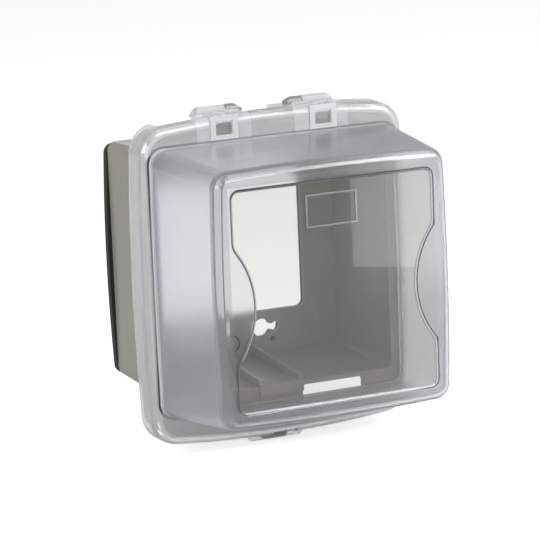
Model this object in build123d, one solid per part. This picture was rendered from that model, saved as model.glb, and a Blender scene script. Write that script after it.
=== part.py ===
from build123d import *
from math import cos, pi, radians, sin, sqrt, tan
import os

# Weatherproof cover for a two-gang outlet that stays shut while cords are plugged in. A grey housing is
# screwed to the wall box over a foam gasket, and a clear lid with a deep frosted dome hangs on two pins.
#
# Frame: X right, -Y towards the viewer, Z up, origin on the wall at the middle of the device opening.
# A depth below is a distance in front of the wall, along -Y. All sizes are in millimetres.

# Gasket and back plate
gasket_thickness = 3.8
gasket_side_overhang = 1.8
gasket_top_inset = 1.0
gasket_bottom_inset = 0.3
gasket_bow_side = 1.5
gasket_bow_end = 0.3
gasket_hole_margin = 0.8
plate_thickness = 2.2
device_width = 78.4
device_height = 67.4
device_corner = 2.5

# Housing box, measured at its mouth, where it is widest
box_width = 117.0
box_height = 116.0
box_depth = 57.2
box_wall = 2.0
box_corner = 4.5
box_draft_side = 0.9
box_draft_end = 2.4

# Keyholes at the four corners of the plate, at the spacing of a two-gang wall box
screw_spacing_x = 46.0
screw_row_gap = 7.95
screw_seat_radius = 2.35
screw_neck = 3.2
screw_head_radius = 4.4
screw_head_reach = 7.4
pad_height = 0.7
pad_width = 20.0
pad_top_reach = 4.8
pad_side_reach = 6.4
pad_corner = 4.0
pilot_radius = 1.4
pilot_drop = 5.8
pilot_inset = 1.7
mark_radius = 2.7
mark_depth = 0.3
mark_reach = 21.0

# Housing flange: a plate round the mouth, with a rim that turns back towards the wall
flange_thickness = 2.0
flange_side = 5.8
flange_top = 10.9
flange_bottom = 18.8
rim_depth = 14.6
rim_corner = 10.0
rim_bow_side = 2.2
rim_bow_end = 3.7
rim_edge = 2.0

# Cord exits through the flange, below the box: the right one is open, the left has its break-out panel
cord_left = 12.0
cord_right = 10.0
cord_width = 31.0
cord_height = 8.2
cord_lintel = 0.1
cord_corner = 1.5
panel_thickness = 0.9
tab_thickness = 1.4
tab_rise = 2.6
tab_drop = 2.5
rib_thickness = 1.8
rib_height_back = 5.6
rib_height_front = 3.1

# Lid flange and skirt, which hang over the housing's rim
lid_wall = 1.8
lid_seat_gap = 0.3
lid_rim_gap = 1.5
lid_skirt_depth = 14.1
lid_edge = 4.5

# Dome, with its root set out from the housing box and its front drawn in and more bowed
dome_depth = 58.2
dome_wall = 2.0
dome_side = 4.3
dome_top = 2.3
dome_bottom = 6.6
dome_draw_side = 5.0
dome_draw_top = 3.3
dome_draw_bottom = 4.3
dome_corner = 7.5
dome_root_bow = 0.4
dome_front_bow = 1.4
dome_edge = 5.0

# Window recess in the dome's front, with a finger hollow in each side
window_side = 7.6
window_top = 8.5
window_bottom = 7.3
window_corner = 4.5
window_recess = 0.7
window_bevel = 1.5
hollow_radius = 40.0
hollow_depth = 9.6
hollow_drop = 4.0
hollow_blend = 9.0
frame_width = 25.4
frame_height = 15.0
frame_line = 0.9
frame_proud = 0.4
frame_drop = 6.1
frame_shift = -0.8
dimple_radius = 4.0
dimple_line = 0.5
dimple_depth = 0.35
dimple_inset = 5.7
dimple_drop = 19.5

# Hinges: a housing knuckle at the inner end of a long lid ear, on a pin, with a hood in front
hinge_spacing = 48.2
hinge_rise = 0.4
pin_radius = 1.2
pin_clearance = 0.08
pin_end_gap = 0.2
pin_length = 19.4
knuckle_radius = 2.5
knuckle_width = 7.8
knuckle_end_wall = 2.6
knuckle_bevel_run = 3.2
knuckle_bevel_drop = 2.1
knuckle_side_gap = 0.4
knuckle_front_gap = 0.5
hump_width = 25.4
hump_flat = 16.5
hump_flat_depth = 1.4
hump_reach = 5.4
hood_width = 13.4
hood_height = 11.0
hood_rise = 0.4
hood_proud = 1.0
hood_shift = 0.8
mouth_width = 8.6
mouth_height = 6.6
mouth_drop = 2.3
mouth_depth = 1.8
ring_radius = 4.3
ring_line = 1.3
ring_proud = 0.5

# Latch: a lid hasp in front of a housing lug, with one eye through both for a padlock
hasp_width = 33.0
hasp_flat = 25.0
hasp_thickness = 2.2
hasp_drop = 3.9
notch_width = 13.0
lug_width = 14.0
lug_thickness = 2.0
lug_gap = 0.4
lug_corner = 2.0
eye_radius = 2.1
gusset_thickness = 1.4
gusset_drop = 1.8
gusset_depth = 8.0

# Bands in the rounded front edges of the lid's flange and dome
round_bands = 5

# Share of a round's radius at which a chamfer just touches that round, for the hidden edges
chamfer_share = 2 - sqrt(2)

# How far a cutting shape runs past the face that it opens
cut_past = 1.0

# Depths from the wall outwards
plate_back = gasket_thickness
plate_front = plate_back + plate_thickness
flange_front = gasket_thickness + box_depth
flange_back = flange_front - flange_thickness
rim_back = flange_front - rim_depth
lid_inner = flange_front + lid_seat_gap
lid_front = lid_inner + lid_wall
skirt_back = lid_front - lid_skirt_depth
dome_front = lid_front + dome_depth

# The upper and lower rows of screws, a fixed step beyond the device opening
screw_spacing_z = device_height + 2 * screw_row_gap

# Outlines at the housing's mouth and back, of its rim and of the lid's skirt
box_half_x = box_width / 2
box_half_z = box_height / 2
back_half_x = box_half_x - box_depth * tan(radians(box_draft_side))
back_half_z = box_half_z - box_depth * tan(radians(box_draft_end))
rim_half_x = box_half_x + flange_side
rim_top = box_half_z + flange_top
rim_bottom = -box_half_z - flange_bottom
skirt_out = lid_rim_gap + lid_wall
skirt_top = rim_top + skirt_out
skirt_bottom = rim_bottom - skirt_out
hasp_bottom = skirt_bottom - hasp_drop

# Hinge line, above the skirt and flush with its back edge
hinge_z = skirt_top + hinge_rise
hinge_depth = skirt_back + knuckle_radius
hinge_places = (-hinge_spacing / 2, hinge_spacing / 2)


def at_depth(depth):
    """Plane parallel to the wall, seen from the front: x right, y up, normal towards the viewer."""
    return Plane(origin=(0, -depth, 0), x_dir=(1, 0, 0), z_dir=(0, -1, 0))


def across(x):
    """Plane across the width: its x is the depth in front of the wall, its y is up, its normal is -X."""
    return Plane(origin=(x, 0, 0), x_dir=(0, -1, 0), z_dir=(-1, 0, 0))


def block(x_low, x_high, depth_low, depth_high, z_low, z_high):
    """Rectangular block between two corners."""
    size = (x_high - x_low, depth_high - depth_low, z_high - z_low)
    middle = ((x_low + x_high) / 2, -(depth_low + depth_high) / 2, (z_low + z_high) / 2)
    return Pos(*middle) * Box(*size)


def slab(face, depth_low, depth_high):
    """Outline drawn parallel to the wall, made solid between two depths."""
    return extrude(at_depth(depth_low) * face, depth_high - depth_low)


def one_solid(shape):
    """The single solid of a finished piece."""
    solids = shape.solids()
    if len(solids) != 1:
        raise ValueError(f"expected one solid, found {len(solids)}")
    return solids[0]


def straight_outline(half_x, top, bottom, corner):
    """Face with straight sides and rounded corners."""
    return Pos(0, (top + bottom) / 2) * RectangleRounded(2 * half_x, top - bottom, corner)


def bowed_outline(half_x, top, bottom, corner, bow_side, bow_end):
    """Face with rounded corners and sides that bow outwards; half_x, top and bottom are at mid-side."""
    x = half_x - bow_side
    high = top - bow_end
    low = bottom + bow_end
    middle = (top + bottom) / 2
    right = ThreePointArc((x, low), (half_x, middle), (x, high))
    upper = ThreePointArc((x, high), (0, top), (-x, high))
    left = ThreePointArc((-x, high), (-half_x, middle), (-x, low))
    lower = ThreePointArc((-x, low), (0, bottom), (x, low))
    face = make_face(Curve() + [right, upper, left, lower])
    return fillet(face.vertices(), corner)


def front_edges(solid):
    """Edges of a solid's foremost face."""
    return solid.faces().sort_by(Axis.Y)[0].edges()


def box_block(depth_low, depth_high, inset):
    """Drafted block of the housing box between two depths, set in from its outside by inset."""
    sections = []
    for depth in (depth_low, depth_high):
        half_x = box_half_x - (flange_front - depth) * tan(radians(box_draft_side)) - inset
        half_z = box_half_z - (flange_front - depth) * tan(radians(box_draft_end)) - inset
        outline = straight_outline(half_x, half_z, -half_z, box_corner - inset)
        sections.append(at_depth(depth) * outline)
    return loft(sections)


def rounded_front(section, depth_low, front, radius):
    """Solid up to a front with a round edge; section gives its outline by depth and inset."""
    sections = [section(depth_low, 0.0)]
    for step in range(round_bands + 1):
        turn = pi / 2 * step / round_bands
        depth = front - radius + radius * sin(turn)
        sections.append(section(depth, radius * (1 - cos(turn))))
    return loft(sections, ruled=True)


def rim_outline(out):
    """Outline of the housing's rim, grown by out."""
    half_x = rim_half_x + out
    corner = rim_corner + out
    return bowed_outline(half_x, rim_top + out, rim_bottom - out, corner, rim_bow_side, rim_bow_end)


def rim_block(depth_low, depth_high, out):
    """Block with the rim's outline, grown by out, between two depths."""
    return slab(rim_outline(out), depth_low, depth_high)


def rim_sag(x):
    """How far the bowed top or bottom of the rim lies below its mid-side height at x."""
    return rim_bow_end * (x / (rim_half_x - rim_bow_side)) ** 2


def dome_outline(depth, inset):
    """Section of the dome at a depth, set in from its outside by inset."""
    share = (depth - lid_front) / dome_depth
    half_x = box_half_x + dome_side - dome_draw_side * share - inset
    top = box_half_z + dome_top - dome_draw_top * share - inset
    bottom = -box_half_z - dome_bottom + dome_draw_bottom * share + inset
    bow = dome_root_bow + (dome_front_bow - dome_root_bow) * share
    return at_depth(depth) * bowed_outline(half_x, top, bottom, dome_corner - inset, bow, bow)


def dome_outside(drop):
    """Solid dome in front of the lid's flange, sunk by drop below its outside."""
    def section(depth, inset):
        return dome_outline(depth, inset + drop)

    return rounded_front(section, lid_front, dome_front - drop, dome_edge - drop)


def dome_inside():
    """Room inside the dome's walls, its front edge chamfered behind the outer round."""
    cut = (dome_edge - dome_wall) * chamfer_share
    front = dome_front - dome_wall
    sections = [dome_outline(lid_inner, dome_wall), dome_outline(front - cut, dome_wall)]
    sections.append(dome_outline(front, dome_wall + cut))
    return loft(sections, ruled=True)


def device_opening(margin):
    """Outline of the opening for the outlets, grown by margin."""
    return RectangleRounded(device_width + 2 * margin, device_height + 2 * margin, device_corner + margin)


def screw_places():
    """The four screw places as (side, level), each 1 or -1."""
    return [(side, level) for side in (1, -1) for level in (1, -1)]


def keyhole(side, level):
    """Keyhole and pilot hole outline at one screw place; the head hole lies towards the middle."""
    seat_x = side * screw_spacing_x / 2
    head_x = seat_x - side * screw_head_reach
    z = level * screw_spacing_z / 2
    seat = Pos(seat_x, z) * Circle(screw_seat_radius)
    head = Pos(head_x, z) * Circle(screw_head_radius)
    neck = Pos((seat_x + head_x) / 2, z) * Rectangle(screw_head_reach, screw_neck)
    pilot = Pos(seat_x - side * pilot_inset, z + level * pilot_drop) * Circle(pilot_radius)
    return seat + head + neck + pilot


def gasket_slot(side, level):
    """Slot in the gasket that clears a whole keyhole."""
    radius = screw_head_radius + gasket_hole_margin
    outer = screw_spacing_x / 2 + screw_seat_radius + gasket_hole_margin
    inner = screw_spacing_x / 2 - screw_head_reach - radius
    place = Pos(side * (outer + inner) / 2, level * screw_spacing_z / 2)
    return place * SlotOverall(outer - inner, 2 * radius)


def screw_pad(side, level):
    """Low pad round a keyhole, which runs out to the box wall."""
    outer = side * (screw_spacing_x / 2 + pad_side_reach)
    inner = outer - side * pad_width
    near = level * (screw_spacing_z / 2 - pad_top_reach)
    far = level * (box_half_z + pad_corner)
    place = Pos((outer + inner) / 2, (near + far) / 2)
    outline = place * RectangleRounded(pad_width, abs(far - near), pad_corner)
    pad = slab(outline, plate_front - pad_height, plate_front + pad_height)
    return pad & box_block(plate_back, flange_front, box_wall / 2)


def floor_rib(x_low):
    """Rib along the box floor beside the cord trough, lower towards the front."""
    floor_front = -box_half_z + box_wall
    floor_back = floor_front + (flange_front - plate_front) * tan(radians(box_draft_end))
    root = box_wall / 2
    start = plate_front - plate_thickness / 2
    profile = Polyline(
        (start, floor_back - root),
        (start, floor_back + rib_height_back),
        (flange_front, floor_front + rib_height_front),
        (flange_front, floor_front - root),
        close=True,
    )
    return extrude(across(x_low + rib_thickness) * make_face(profile), rib_thickness)


def cord_exit(x_low):
    """Outline of a cord exit just below the box, from x_low rightwards."""
    top = -box_half_z - cord_lintel
    place = Pos(x_low + cord_width / 2, top - cord_height / 2)
    return place * RectangleRounded(cord_width, cord_height, cord_corner)


def cord_tab():
    """Plate that closes the front of the cord trough and stands proud of the flange."""
    top = -box_half_z + tab_rise
    bottom = -box_half_z - tab_drop
    return block(-cord_left, cord_right, flange_back, flange_front + tab_thickness, bottom, top)


def inward(x):
    """Direction from a hinge towards the middle of the cover, 1 or -1."""
    return -1 if x > 0 else 1


def knuckle_end(x, step):
    """Place of a knuckle's inner end, moved outwards by step; it is flush with the hump's inner end."""
    return x + inward(x) * (hump_width / 2 - step)


def hinge_rod(x, step, length, radius):
    """Round bar on the hinge line that runs outwards from a step past the knuckle's inner end."""
    ends = (knuckle_end(x, step), knuckle_end(x, step + length))
    return extrude(across(max(ends)) * Pos(hinge_depth, hinge_z) * Circle(radius), length)


def knuckle(x):
    """Housing knuckle on the rim at a hinge's inner end, bevelled there, with a blind bore for the pin."""
    ends = (knuckle_end(x, 0.0), knuckle_end(x, knuckle_width))
    lift = hinge_z - rim_top + rim_sag(ends[1]) + flange_thickness / 2
    profile = Circle(knuckle_radius) + Pos(0, -lift / 2) * Rectangle(2 * knuckle_radius, lift)
    body = extrude(across(max(ends)) * Pos(hinge_depth, hinge_z) * profile, knuckle_width)
    top = hinge_z + knuckle_radius
    bevel = Polyline(
        (ends[0], top),
        (ends[0], top - knuckle_bevel_drop),
        (knuckle_end(x, knuckle_bevel_run), top),
        close=True,
    )
    body -= slab(make_face(bevel), hinge_depth - knuckle_radius, hinge_depth + knuckle_radius)
    bore_length = knuckle_width - knuckle_end_wall
    return body - hinge_rod(x, knuckle_end_wall, bore_length, pin_radius + pin_clearance)


def padlock_eye(depth_low, depth_high):
    """Hole for a padlock, midway between the rim gap and the hasp's lower edge."""
    middle = (rim_bottom - lid_rim_gap + hasp_bottom) / 2
    return slab(Pos(0, middle) * Circle(eye_radius), depth_low, depth_high)


def catch_lug():
    """Lug below the rim's back edge, just behind the hasp."""
    front = skirt_back - lug_gap
    back = front - lug_thickness
    lug = block(-lug_width / 2, lug_width / 2, back, front, hasp_bottom, rim_bottom + flange_thickness / 2)
    low_corners = lug.edges().filter_by(Axis.Y).sort_by(Axis.Z)[:2]
    return fillet(low_corners, lug_corner) - padlock_eye(back, front)


def base_housing():
    """Grey housing: box, back plate, flange with its rim, cord exits, knuckles and catch lug."""
    flange = rim_block(rim_back, flange_front, 0.0)
    flange = chamfer(front_edges(flange), rim_edge * chamfer_share)
    flange -= rim_block(rim_back, flange_back, -flange_thickness)
    body = box_block(plate_back, flange_front, 0.0) + flange
    body -= box_block(plate_front, flange_front, box_wall)
    body += floor_rib(-cord_left)
    body += floor_rib(cord_right - rib_thickness)
    body += cord_tab()
    body -= slab(cord_exit(cord_right), flange_back, flange_front)
    body -= slab(cord_exit(-cord_left - cord_width), flange_back + panel_thickness, flange_front)
    for side, level in screw_places():
        body += screw_pad(side, level)
    for side, level in screw_places():
        body -= slab(keyhole(side, level), plate_back, plate_front + pad_height)
        mark_x = side * (screw_spacing_x / 2 + mark_reach)
        mark = Pos(mark_x, level * screw_spacing_z / 2) * Circle(mark_radius)
        body -= slab(mark, plate_front - mark_depth, plate_front)
    body -= slab(device_opening(0.0), plate_back, plate_front)
    for x in hinge_places:
        body += knuckle(x)
    body += catch_lug()
    return one_solid(body)


def wall_gasket():
    """Foam ring between the housing and the wall, cut clear of the opening and the keyholes."""
    half_x = back_half_x + gasket_side_overhang
    top = back_half_z - gasket_top_inset
    bottom = gasket_bottom_inset - back_half_z
    ring = bowed_outline(half_x, top, bottom, box_corner, gasket_bow_side, gasket_bow_end)
    ring -= device_opening(gasket_hole_margin)
    for side, level in screw_places():
        ring -= gasket_slot(side, level)
    return one_solid(slab(ring, 0.0, gasket_thickness))


def lid_flange():
    """Flange and skirt of the lid, before it is hollowed."""
    def section(depth, inset):
        return at_depth(depth) * rim_outline(skirt_out - inset)

    return rounded_front(section, skirt_back, lid_front, lid_edge)


def hump(x):
    """Hinge hump on the skirt's back edge, with bevelled ends; the knuckle's notch later leaves one ear."""
    sag = rim_sag(abs(x) + hump_width / 2)
    low = rim_top - sag + lid_rim_gap
    foot = skirt_top - sag - lid_wall / 2
    top = hinge_z + knuckle_radius
    profile = Polyline(
        (hinge_depth - knuckle_radius, low),
        (hinge_depth - knuckle_radius, hinge_z),
        (hinge_depth, top),
        (hinge_depth + hump_flat_depth, top),
        (hinge_depth + hump_reach, foot),
        (hinge_depth + hump_reach, low),
        close=True,
    )
    section = make_face(profile) + Pos(hinge_depth, hinge_z) * Circle(knuckle_radius)
    bar = across(x + hump_width / 2) * section
    ends = Polyline(
        (x - hump_width / 2, low),
        (x - hump_width / 2, foot),
        (x - hump_flat / 2, top),
        (x + hump_flat / 2, top),
        (x + hump_width / 2, foot),
        (x + hump_width / 2, low),
        close=True,
    )
    return extrude(bar, hump_width) & slab(make_face(ends), skirt_back - cut_past, lid_front)


def hood_place(x):
    """Middle of a hood and height of its top, just above the skirt where it stands."""
    middle = x - inward(x) * hood_shift
    return middle, skirt_top - rim_sag(middle) + hood_rise


def hood(x):
    """Square block that fills the lid's rounded edge in front of a hinge, with a ring on its top."""
    back = hinge_depth + knuckle_radius + knuckle_front_gap
    front = lid_front + hood_proud
    middle, top = hood_place(x)
    body = block(middle - hood_width / 2, middle + hood_width / 2, back, front, top - hood_height, top)
    ring = Circle(ring_radius) - Circle(ring_radius - ring_line)
    seat = Plane(origin=(middle, -(back + front) / 2, top), x_dir=(1, 0, 0), z_dir=(0, 0, 1))
    return body + extrude(seat * ring, ring_proud)


def hood_mouth(x):
    """Blind square pocket in the front of a hood."""
    middle, top = hood_place(x)
    front = lid_front + hood_proud
    high = top - mouth_drop
    half = mouth_width / 2
    return block(middle - half, middle + half, front - mouth_depth, front, high - mouth_height, high)


def knuckle_room(x):
    """Space in the lid for a knuckle, and the bore for its pin through the ear."""
    ends = sorted((knuckle_end(x, -knuckle_side_gap), knuckle_end(x, knuckle_width + knuckle_side_gap)))
    front = hinge_depth + knuckle_radius + knuckle_front_gap
    low = rim_top - rim_sag(x)
    notch = block(*ends, skirt_back - cut_past, front, low, hinge_z + 2 * knuckle_radius)
    return notch + hinge_rod(x, knuckle_width, hump_width - knuckle_width, pin_radius + pin_clearance)


def hasp():
    """Bevelled plate below the lid's skirt, with a gusset on each side of the latch notch."""
    top = rim_bottom - lid_rim_gap
    outline = Polyline(
        (-hasp_width / 2, top),
        (hasp_width / 2, top),
        (hasp_width / 2, skirt_bottom + lid_wall / 2),
        (hasp_flat / 2, hasp_bottom),
        (-hasp_flat / 2, hasp_bottom),
        (-hasp_width / 2, skirt_bottom + lid_wall / 2),
        close=True,
    )
    plate = slab(make_face(outline), skirt_back, skirt_back + hasp_thickness)
    gusset = Polyline(
        (skirt_back, top),
        (skirt_back + gusset_depth, top),
        (skirt_back + gusset_depth, skirt_bottom),
        (skirt_back + hasp_thickness, skirt_bottom - gusset_drop),
        (skirt_back, skirt_bottom - gusset_drop),
        close=True,
    )
    for start in (-notch_width / 2, notch_width / 2 + gusset_thickness):
        plate += extrude(across(start) * make_face(gusset), gusset_thickness)
    return plate


def window_outline(inset):
    """Window outline on the dome's front, with a finger hollow in each side, set in by inset."""
    half_x = box_half_x + dome_side - dome_draw_side - window_side - inset
    top = box_half_z + dome_top - dome_draw_top - window_top - inset
    bottom = -box_half_z - dome_bottom + dome_draw_bottom + window_bottom + inset
    reach = hollow_radius - hollow_depth
    half_chord = sqrt(hollow_radius**2 - reach**2)
    centre_x = half_x + inset + reach
    radius = hollow_radius + inset
    outline = straight_outline(half_x, top, bottom, window_corner - inset)
    for side in (1, -1):
        outline -= Pos(side * centre_x, -hollow_drop) * Circle(radius)
    ends = [v for v in outline.vertices() if abs(v.Y + hollow_drop) < half_chord + inset]
    return fillet(ends, hollow_blend - inset)


def window_room():
    """Bevelled recess over the window, with a plain raised frame left standing in it."""
    floor = dome_front - window_recess
    mouth = at_depth(dome_front) * window_outline(0.0)
    recess = loft([mouth, at_depth(floor) * window_outline(window_bevel)])
    top = box_half_z + dome_top - dome_draw_top - window_top
    place = Pos(frame_shift, top - frame_drop - frame_height / 2)
    outer = Rectangle(frame_width, frame_height)
    line = outer - Rectangle(frame_width - 2 * frame_line, frame_height - 2 * frame_line)
    return recess - slab(place * line, floor, floor + frame_proud)


def dimple_ring():
    """Shallow ring groove on the left of the dome's front, which follows its rounded edge."""
    x = -(box_half_x + dome_side - dome_draw_side - dimple_inset)
    ring = Circle(dimple_radius) - Circle(dimple_radius - dimple_line)
    prism = slab(Pos(x, -dimple_drop) * ring, dome_front - dome_edge, dome_front)
    return prism & (dome_outside(0.0) - dome_outside(dimple_depth))


def lid():
    """Clear lid: flange and skirt over the rim, hollow dome, window recess, hinge ears, hoods and hasp."""
    body = lid_flange() + dome_outside(0.0)
    for x in hinge_places:
        body += hump(x)
        body += hood(x)
    body += hasp()
    hollow = rim_block(skirt_back, lid_inner, lid_rim_gap)
    body -= chamfer(front_edges(hollow), (lid_edge - lid_wall) * chamfer_share)
    body -= dome_inside()
    for x in hinge_places:
        body -= knuckle_room(x)
        body -= hood_mouth(x)
    half = notch_width / 2
    notch_back = skirt_back + hasp_thickness
    body -= block(-half, half, notch_back, lid_front, hasp_bottom, rim_bottom - lid_rim_gap)
    body -= padlock_eye(skirt_back, notch_back)
    body -= window_room()
    body -= dimple_ring()
    return one_solid(body)


def hinge_pin(x):
    """Plain pin from the blind bore in the knuckle out into the ear."""
    return one_solid(hinge_rod(x, knuckle_end_wall + pin_end_gap, pin_length, pin_radius))


pieces = {
    "base_housing": base_housing(),
    "wall_gasket": wall_gasket(),
    "lid": lid(),
    "hinge_pin_left": hinge_pin(hinge_places[0]),
    "hinge_pin_right": hinge_pin(hinge_places[1]),
}

os.makedirs("parts", exist_ok=True)
for name, piece in pieces.items():
    export_step(piece, f"parts/{name}.step")
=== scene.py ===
import math

import bpy
from mathutils import Matrix, Vector


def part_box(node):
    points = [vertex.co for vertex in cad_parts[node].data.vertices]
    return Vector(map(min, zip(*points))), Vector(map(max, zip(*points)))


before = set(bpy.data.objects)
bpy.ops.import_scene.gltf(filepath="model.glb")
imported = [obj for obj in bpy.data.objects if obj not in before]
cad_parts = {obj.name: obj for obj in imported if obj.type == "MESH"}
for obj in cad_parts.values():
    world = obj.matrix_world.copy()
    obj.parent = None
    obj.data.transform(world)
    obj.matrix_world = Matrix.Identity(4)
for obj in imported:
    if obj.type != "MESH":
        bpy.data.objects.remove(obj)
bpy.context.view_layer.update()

# Places read from the frame, in metres. X right, -Y towards the viewer, Z up.
MM = 0.001
LID_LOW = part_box("lid")[0]
DOME_FRONT = LID_LOW.y
DOME_DEPTH = 58.2 * MM
LID_FRONT = DOME_FRONT + DOME_DEPTH
FLOOR_LEVEL = LID_LOW.z - 0.5 * MM
FLOOR_HALF = 6.0

# Camera, as fitted to the photograph
FRAME_PIXELS = 540
CAMERA_AIM = Vector((0.0, -0.0493, 0.0))
CAMERA_DISTANCE = 1.5722
CAMERA_AZIMUTH = -25.03
CAMERA_ELEVATION = 11.27
CAMERA_ROLL = 2.47
FOCAL_PIXELS = 3409.0
AIM_PIXEL = (266.5, 260.1)

# Window in the dome's front: a rectangle that holds it, inside the round of the front edge
WINDOW_HALF = 50.6 * MM
WINDOW_TOP = 49.2 * MM
WINDOW_BOTTOM = -53.4 * MM
DOME_WALL = 2.0 * MM

# Dome's outline where it leaves the flange
ROOT_HALF = 62.8 * MM
ROOT_TOP = 60.3 * MM
ROOT_BOTTOM = -64.6 * MM
ROOT_CORNER = 7.5 * MM

# Hinge humps and hoods on the lid
HINGE_X = 24.5 * MM
HINGE_HALF = 13.5 * MM
HINGE_LOW = 60.5 * MM
MOUTH_X = 24.9 * MM
MOUTH_HALF = 4.35 * MM
MOUTH_LOW = 63.0 * MM
MOUTH_HIGH = 69.75 * MM

# Depths behind the dome's front: painted shade lines and a painted highlight line round the window, and
# the dome's rounded edge
POLISHED_FROM = (0.01 * MM, 0.05 * MM)
OUTER_SHADE_LINE = (0.03 * MM, 0.26 * MM)
RAISED_LINE = (0.28 * MM, 0.34 * MM)
INNER_SHADE_LINE = (0.55 * MM, 0.68 * MM)
ROUNDED_EDGE = (0.4 * MM, 5.0 * MM)
FRONT_FACE = (3.0 * MM, 1.5 * MM)

# Distances ahead of the lid's flange: the painted highlight line at the dome's root, the flange's face
# and its skirt
ROOT_HIGHLIGHT_BAND = (0.3 * MM, 1.8 * MM)
FLANGE_FACE = (0.1 * MM, -0.1 * MM)
SKIRT_FROM = (-0.2 * MM, -0.8 * MM)
# Distance outside the dome's root of the painted shade line on the flange
ROOT_SHADE_BAND = (-0.5 * MM, 0.55 * MM)

# Colours of the lid's plastic, several of them painted light and shade
# Satin walls: darker on the left as painted shade, paler on the right as painted light
SATIN_PAINTED_SHADE_LEFT = (0.72, 0.71, 0.77, 1.0)
SATIN_PAINTED_LIGHT_RIGHT = (0.93, 0.93, 0.95, 1.0)
# Dome's top wall, darker as painted shade
SATIN_PAINTED_SHADE_ABOVE = (0.56, 0.555, 0.6, 1.0)
FRONT_TINT = (0.62, 0.62, 0.63, 1.0)
# Rounded front edge: darker on the left as painted shade, paler on the right as a painted highlight
EDGE_PAINTED_SHADE_LEFT = (0.5, 0.5, 0.52, 1.0)
EDGE_PAINTED_HIGHLIGHT_RIGHT = (0.85, 0.85, 0.88, 1.0)
FLANGE_TINT = (0.90, 0.90, 0.89, 1.0)
SKIRT_TINT = (0.88, 0.88, 0.90, 1.0)
MOUTH_TINT = (0.85, 0.85, 0.86, 1.0)
WINDOW_TINT = (0.69, 0.685, 0.665, 1.0)
# Raised line round the window, painted paler and milkier as a highlight
RAISED_HIGHLIGHT_TINT = (0.72, 0.72, 0.72, 1.0)
# Painted highlight line on the dome just inside its root
ROOT_HIGHLIGHT_TINT = (0.75, 0.75, 0.77, 1.0)
# Painted shade lines round the window: dark at the bevel's outer edge, grey at its inner edge
OUTER_SHADE_TINT = (0.04, 0.035, 0.08, 1.0)
INNER_SHADE_TINT = (0.16, 0.155, 0.18, 1.0)
# Painted shade line on the flange just outside the dome's root
ROOT_SHADE_TINT = (0.02, 0.02, 0.025, 1.0)
SHADOW_TINT = (0.5, 0.5, 0.505, 1.0)

# Refraction of moulded plastic, of the housing and of the lid
HOUSING_IOR = 1.5
LID_IOR = 1.58

# Light levels
AMBIENT = 0.2
WHITE = (1.0, 1.0, 1.0, 1.0)
FLOOR_SHADE = 0.86
FLOOR_LIFT = 0.75
WORLD_MIRRORED = 0.45
FLOOR_MIRRORED = 0.2


class Nodes:
    """The node tree of a material or a world, with short calls to add and link its nodes."""

    def __init__(self, owner):
        self.owner = owner
        owner.use_nodes = True
        self.tree = owner.node_tree
        self.tree.nodes.clear()

    def add(self, kind, inputs=(), **settings):
        node = self.tree.nodes.new("ShaderNode" + kind)
        for key, value in settings.items():
            setattr(node, key, value)
        for key, value in dict(inputs).items():
            self.feed(node.inputs[key], value)
        return node

    def feed(self, socket, value):
        if isinstance(value, bpy.types.NodeSocket):
            self.tree.links.new(value, socket)
        else:
            socket.default_value = value

    def math(self, operation, first, second=0.0):
        node = self.add("Math", operation=operation)
        self.feed(node.inputs[0], first)
        self.feed(node.inputs[1], second)
        return node.outputs[0]

    def ramp(self, value, low, high):
        """Smooth step from 0 at low to 1 at high."""
        inputs = {"Value": value, "From Min": low, "From Max": high}
        return self.add("MapRange", inputs, interpolation_type="SMOOTHSTEP").outputs[0]

    def band(self, value, low, high, soft):
        """One between low and high, zero elsewhere, with soft ends."""
        rise = self.ramp(value, low - soft, low + soft)
        fall = self.ramp(value, high - soft, high + soft)
        return self.math("SUBTRACT", rise, fall)

    def all_of(self, *shares):
        product = shares[0]
        for share in shares[1:]:
            product = self.math("MULTIPLY", product, share)
        return product

    def place(self):
        """Point in the row's frame at rest, whole and split in X, Y and Z."""
        coordinates = self.add("TexCoord")
        split = self.add("SeparateXYZ", {"Vector": coordinates.outputs["Object"]})
        return coordinates.outputs["Object"], split.outputs

    def noise(self, vector, scale, detail=2.0, roughness=0.5):
        inputs = {"Vector": vector, "Scale": scale, "Detail": detail, "Roughness": roughness}
        return self.add("TexNoise", inputs).outputs["Fac"]

    def blend_colour(self, share, first, second):
        node = self.add("Mix", data_type="RGBA")
        self.feed(node.inputs["Factor"], share)
        self.feed(node.inputs[6], first)
        self.feed(node.inputs[7], second)
        return node.outputs[2]

    def blend_value(self, share, first, second):
        node = self.add("Mix", data_type="FLOAT")
        self.feed(node.inputs["Factor"], share)
        self.feed(node.inputs[2], first)
        self.feed(node.inputs[3], second)
        return node.outputs[0]

    def bump(self, height, strength, distance):
        node = self.add("Bump", {"Height": height, "Strength": strength, "Distance": distance})
        return node.outputs["Normal"]

    def finish(self, shader, output="OutputMaterial"):
        self.add(output, {"Surface": shader})
        return self.owner


def housing_material():
    """Moulded warm grey plastic, glossy, with slight waves and slow changes of shade."""
    nodes = Nodes(bpy.data.materials.new("housing_grey"))
    vector = nodes.place()[0]
    drift = nodes.noise(vector, 14.0, 3.0)
    colour = nodes.blend_colour(drift, (0.285, 0.281, 0.247, 1.0), (0.33, 0.325, 0.287, 1.0))
    grain = nodes.noise(vector, 220.0, 1.0)
    shader = nodes.add(
        "BsdfPrincipled",
        {
            "Base Color": colour,
            "Roughness": nodes.blend_value(nodes.noise(vector, 60.0), 0.18, 0.28),
            "IOR": HOUSING_IOR,
            "Normal": nodes.bump(grain, 0.08, 0.05 * MM),
        },
    )
    return nodes.finish(shader.outputs[0])


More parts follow.
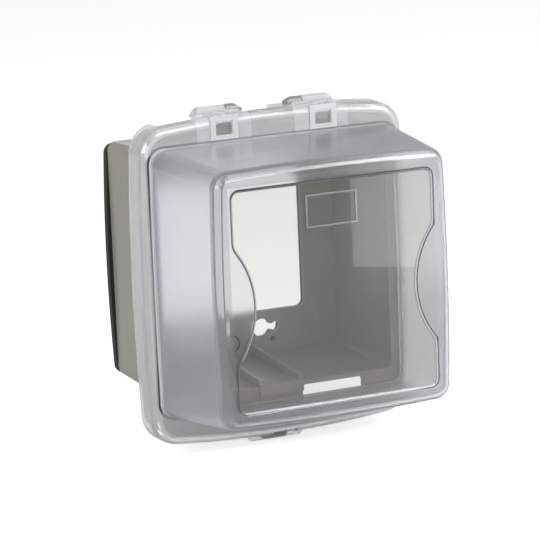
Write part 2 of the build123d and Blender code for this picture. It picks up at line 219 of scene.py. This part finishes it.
def gasket_material():
    """Black closed-cell foam with a paler line along the middle of its edge."""
    nodes = Nodes(bpy.data.materials.new("gasket_foam"))
    vector, axes = nodes.place()
    cells = nodes.add("TexVoronoi", {"Vector": vector, "Scale": 1500.0}, feature="F1").outputs["Distance"]
    foam = nodes.blend_colour(cells, (0.003, 0.003, 0.002, 1.0), (0.014, 0.014, 0.012, 1.0))
    line = nodes.band(axes["Y"], -2.2 * MM, -1.6 * MM, 0.25 * MM)
    shader = nodes.add(
        "BsdfPrincipled",
        {
            "Base Color": nodes.blend_colour(line, foam, (0.06, 0.062, 0.055, 1.0)),
            "Roughness": 0.75,
            "Normal": nodes.bump(cells, 0.5, 0.3 * MM),
        },
    )
    return nodes.finish(shader.outputs[0])


def inside_window(nodes, axes):
    """One within the rectangle that holds the window, in the front wall of the dome."""
    x = nodes.math("ABSOLUTE", axes["X"])
    side = nodes.math("LESS_THAN", x, WINDOW_HALF)
    top = nodes.math("LESS_THAN", axes["Z"], WINDOW_TOP)
    bottom = nodes.math("GREATER_THAN", axes["Z"], WINDOW_BOTTOM)
    ahead = nodes.math("LESS_THAN", axes["Y"], DOME_FRONT + DOME_WALL + 0.4 * MM)
    return nodes.all_of(side, top, bottom, ahead)


def beyond_root(nodes, axes):
    """Distance outside the dome's outline, measured along the flange."""
    middle = (ROOT_TOP + ROOT_BOTTOM) / 2
    reach_x = nodes.math("SUBTRACT", nodes.math("ABSOLUTE", axes["X"]), ROOT_HALF - ROOT_CORNER)
    height = nodes.math("ABSOLUTE", nodes.math("SUBTRACT", axes["Z"], middle))
    reach_z = nodes.math("SUBTRACT", height, (ROOT_TOP - ROOT_BOTTOM) / 2 - ROOT_CORNER)
    reach_x = nodes.math("MAXIMUM", reach_x, 0.0)
    reach_z = nodes.math("MAXIMUM", reach_z, 0.0)
    square = nodes.math("ADD", nodes.all_of(reach_x, reach_x), nodes.all_of(reach_z, reach_z))
    return nodes.math("SUBTRACT", nodes.math("SQRT", square), ROOT_CORNER)


def near_hinge(nodes, axes):
    """One in the humps and hoods above the dome."""
    offset = nodes.math("ABSOLUTE", nodes.math("SUBTRACT", nodes.math("ABSOLUTE", axes["X"]), HINGE_X))
    side = nodes.math("LESS_THAN", offset, HINGE_HALF)
    return nodes.all_of(side, nodes.math("GREATER_THAN", axes["Z"], HINGE_LOW))


def hood_mouth(nodes, axes):
    """One in the pocket in the front of a hood."""
    offset = nodes.math("ABSOLUTE", nodes.math("SUBTRACT", nodes.math("ABSOLUTE", axes["X"]), MOUTH_X))
    side = nodes.math("LESS_THAN", offset, MOUTH_HALF)
    height = nodes.band(axes["Z"], MOUTH_LOW, MOUTH_HIGH, 0.1 * MM)
    ahead = nodes.math("GREATER_THAN", axes["Y"], LID_FRONT + 0.3 * MM)
    return nodes.all_of(side, height, ahead)


def lid_material():
    """Moulded polycarbonate: satin on the dome, clearer on the flange, polished on the window."""
    nodes = Nodes(bpy.data.materials.new("lid_clear"))
    vector, axes = nodes.place()
    holder = inside_window(nodes, axes)
    sunk = nodes.math("SUBTRACT", axes["Y"], DOME_FRONT)
    polished = nodes.all_of(holder, nodes.ramp(sunk, *POLISHED_FROM))
    # Share from left to right, for painted shade on the left and painted light on the right
    painted_light_across = nodes.ramp(axes["X"], -30.0 * MM, 60.0 * MM)
    near_left = nodes.ramp(axes["X"], -24.0 * MM, -34.0 * MM)
    line_depth = nodes.math("MULTIPLY", sunk, nodes.blend_value(near_left, 1.0, 0.6))
    # Painted shade lines at the outer and inner edges of the window's bevel
    painted_outer_shade = nodes.all_of(holder, nodes.band(line_depth, *OUTER_SHADE_LINE, 0.03 * MM))
    painted_inner_shade = nodes.all_of(holder, nodes.band(sunk, *INNER_SHADE_LINE, 0.02 * MM))
    # Raised line in the bevel, painted lighter as a highlight
    raised_line_highlight = nodes.all_of(holder, nodes.band(line_depth, *RAISED_LINE, 0.02 * MM))
    ahead = nodes.math("SUBTRACT", LID_FRONT, axes["Y"])
    flange = nodes.ramp(ahead, *FLANGE_FACE)
    front = nodes.ramp(sunk, *FRONT_FACE)
    past_window = nodes.math("SUBTRACT", 1.0, holder)
    rounded = nodes.all_of(past_window, nodes.band(sunk, *ROUNDED_EDGE, 0.4 * MM))
    skirt = nodes.ramp(ahead, *SKIRT_FROM)
    hinge = nodes.all_of(flange, near_hinge(nodes, axes))
    mouth = nodes.all_of(hinge, hood_mouth(nodes, axes))
    # Painted shade line on the flange just outside the dome's root
    painted_root_shade = nodes.all_of(flange, nodes.band(beyond_root(nodes, axes), *ROOT_SHADE_BAND, 0.15 * MM))
    # Painted highlight line on the dome just inside its root
    painted_root_highlight = nodes.band(ahead, *ROOT_HIGHLIGHT_BAND, 0.4 * MM)
    # Painted shade on the dome's top, stronger towards the right
    above = nodes.ramp(axes["Z"], 40.0 * MM, 52.0 * MM)
    above = nodes.all_of(above, nodes.blend_value(painted_light_across, 0.35, 0.95))

    # From the dome's satin walls outwards, each share lies over those before it; several shares are
    # painted light and shade
    # Satin walls go from painted shade on the left to painted light on the right
    colour = nodes.blend_colour(painted_light_across, SATIN_PAINTED_SHADE_LEFT, SATIN_PAINTED_LIGHT_RIGHT)
    tints = (
        (above, SATIN_PAINTED_SHADE_ABOVE),
        (front, FRONT_TINT),
        # Rounded edge, painted shade on the left and painted highlight on the right
        (rounded, nodes.blend_colour(painted_light_across, EDGE_PAINTED_SHADE_LEFT, EDGE_PAINTED_HIGHLIGHT_RIGHT)),
        (flange, FLANGE_TINT),
        (skirt, SKIRT_TINT),
        (hinge, SKIRT_TINT),
        (mouth, MOUTH_TINT),
        (polished, WINDOW_TINT),
        (raised_line_highlight, RAISED_HIGHLIGHT_TINT),
        (painted_root_highlight, ROOT_HIGHLIGHT_TINT),
        (painted_outer_shade, OUTER_SHADE_TINT),
        (painted_inner_shade, INNER_SHADE_TINT),
        (painted_root_shade, ROOT_SHADE_TINT),
    )
    for share, tint in tints:
        colour = nodes.blend_colour(share, colour, tint)

    roughness = 0.24
    for share, level in ((front, 0.14), (rounded, 0.1), (flange, 0.12), (skirt, 0.07), (polished, 0.02)):
        roughness = nodes.blend_value(share, roughness, level)

    # Painted shade and highlight lines, which pass less light
    lines = painted_outer_shade
    for other in (painted_inner_shade, painted_root_shade, painted_root_highlight):
        lines = nodes.math("MAXIMUM", lines, other)
    passing = 0.88
    clearness = (
        (front, 0.97),
        (rounded, 0.8),
        (flange, 0.6),
        (skirt, 0.76),
        (hinge, 0.55),
        (mouth, 0.95),
        (polished, 1.0),
        (raised_line_highlight, 0.72),
        (lines, 0.2),
    )
    for share, level in clearness:
        passing = nodes.blend_value(share, passing, level)

    grain = nodes.noise(vector, 480.0, 3.0)
    frost = nodes.math("SUBTRACT", 1.0, polished)
    shader = nodes.add(
        "BsdfPrincipled",
        {
            "Base Color": colour,
            "Roughness": roughness,
            "IOR": LID_IOR,
            "Transmission Weight": passing,
            "Normal": nodes.bump(grain, nodes.math("MULTIPLY", frost, 0.03), 0.05 * MM),
        },
    )
    pass_light = nodes.add("BsdfTransparent", {"Color": SHADOW_TINT})
    in_shadow = nodes.add("LightPath").outputs["Is Shadow Ray"]
    mixed = nodes.add("MixShader", {0: in_shadow, 1: shader.outputs[0], 2: pass_light.outputs[0]})
    return nodes.finish(mixed.outputs[0])


def dress(node, material):
    """Gives a CAD node its material."""
    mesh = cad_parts[node].data
    mesh.materials.clear()
    mesh.materials.append(material)


def seen_directly(nodes, mirrored):
    """One for rays that show the backdrop, also through clear plastic, and zero for rays that light.

    Reflections get the share mirrored.
    """
    path = nodes.add("LightPath").outputs
    share = nodes.math("MULTIPLY", path["Is Glossy Ray"], mirrored)
    for name in ("Is Camera Ray", "Is Transmission Ray"):
        share = nodes.math("MAXIMUM", share, path[name])
    not_scattered = nodes.math("LESS_THAN", path["Diffuse Depth"], 0.5)
    return nodes.math("MULTIPLY", share, not_scattered)


def build_world():
    """White backdrop where it is seen, and a plain level of light elsewhere."""
    world = bpy.data.worlds.new("studio")
    bpy.context.scene.world = world
    nodes = Nodes(world)
    seen = seen_directly(nodes, WORLD_MIRRORED)
    level = nodes.add("MapRange", {"Value": seen, "To Min": AMBIENT, "To Max": 1.0}).outputs[0]
    background = nodes.add("Background", {"Color": WHITE, "Strength": level})
    nodes.finish(background.outputs[0], "OutputWorld")


def build_floor():
    """Wide pale floor just under the object, lifted to white where it is seen, with its shadow on it."""
    mesh = bpy.data.meshes.new("floor")
    half = FLOOR_HALF
    corners = [(-half, -half, 0), (half, -half, 0), (half, half, 0), (-half, half, 0)]
    mesh.from_pydata(corners, [], [(0, 1, 2, 3)])
    floor = bpy.data.objects.new("floor", mesh)
    floor.location.z = FLOOR_LEVEL
    bpy.context.scene.collection.objects.link(floor)
    nodes = Nodes(bpy.data.materials.new("floor_white"))
    diffuse = nodes.add("BsdfDiffuse", {"Color": (FLOOR_SHADE, FLOOR_SHADE, FLOOR_SHADE, 1.0)})
    lift = nodes.math("MULTIPLY", seen_directly(nodes, FLOOR_MIRRORED), FLOOR_LIFT)
    glow = nodes.add("Emission", {"Color": WHITE, "Strength": lift})
    both = nodes.add("AddShader", {0: diffuse.outputs[0], 1: glow.outputs[0]})
    mesh.materials.append(nodes.finish(both.outputs[0]))


def soft_light(name, place, aim, width, height, radiance):
    """Rectangular soft lamp of an even brightness, faced from its place towards an aim."""
    data = bpy.data.lights.new(name, "AREA")
    data.shape = "RECTANGLE"
    data.size = width
    data.size_y = height
    data.energy = radiance * math.pi * width * height
    lamp = bpy.data.objects.new(name, data)
    bpy.context.scene.collection.objects.link(lamp)
    lamp.location = Vector(place)
    lamp.rotation_mode = "QUATERNION"
    lamp.rotation_quaternion = (Vector(aim) - Vector(place)).to_track_quat("-Z", "Y")
    lamp.visible_camera = False
    return lamp


def reflector(name, place, width, height, radiance):
    """Upright soft panel near the object, seen only as a reflection in its glossy faces."""
    aim = (CAMERA_AIM.x, CAMERA_AIM.y, place[2])
    lamp = soft_light(name, place, aim, width, height, radiance)
    lamp.visible_diffuse = False
    lamp.visible_transmission = False
    return lamp


def build_camera():
    """Camera at the photograph's viewing angle, with its slight roll."""
    azimuth = math.radians(CAMERA_AZIMUTH)
    elevation = math.radians(CAMERA_ELEVATION)
    roll = math.radians(CAMERA_ROLL)
    back = Vector((
        math.sin(azimuth) * math.cos(elevation),
        -math.cos(azimuth) * math.cos(elevation),
        math.sin(elevation),
    ))
    right = Vector((math.cos(azimuth), math.sin(azimuth), 0.0))
    up = back.cross(right)
    camera_right = right * math.cos(roll) - up * math.sin(roll)
    camera_up = right * math.sin(roll) + up * math.cos(roll)
    data = bpy.data.cameras.new("camera")
    data.sensor_width = 36.0
    data.lens = data.sensor_width * FOCAL_PIXELS / FRAME_PIXELS
    data.shift_x = (FRAME_PIXELS / 2 - AIM_PIXEL[0]) / FRAME_PIXELS
    data.shift_y = (AIM_PIXEL[1] - FRAME_PIXELS / 2) / FRAME_PIXELS
    camera = bpy.data.objects.new("camera", data)
    bpy.context.scene.collection.objects.link(camera)
    turn = Matrix((camera_right, camera_up, back)).transposed().to_4x4()
    camera.matrix_world = Matrix.Translation(CAMERA_AIM + back * CAMERA_DISTANCE) @ turn
    data.clip_start = 0.05
    data.clip_end = 20.0
    bpy.context.scene.camera = camera


dress("base_housing", housing_material())
dress("wall_gasket", gasket_material())
lid_plastic = lid_material()
for name in ("lid", "hinge_pin_left", "hinge_pin_right"):
    dress(name, lid_plastic)

build_world()
build_floor()
soft_light("key", (0.41, -0.72, 0.72), (0.41, -0.05, 0.0), 0.9, 0.5, 4.6)
soft_light("fill", (-1.1, -0.55, 0.45), CAMERA_AIM, 0.6, 0.6, 6.6)
soft_light("low_left", (-0.85, -1.15, 0.0), CAMERA_AIM, 0.5, 0.5, 4.2)
reflector("back_left", (-0.27, 0.17, -0.03), 0.22, 0.10, 0.7)
reflector("front_right", (0.3, -0.43, 0.02), 0.25, 0.2, 1.8)
reflector("front_high", (0.33, -0.66, 0.42), 0.9, 0.22, 7.0)
reflector("back_high", (0.11, 0.34, 0.16), 0.14, 0.08, 1.2)
build_camera()
bpy.context.scene.view_settings.view_transform = "Standard"
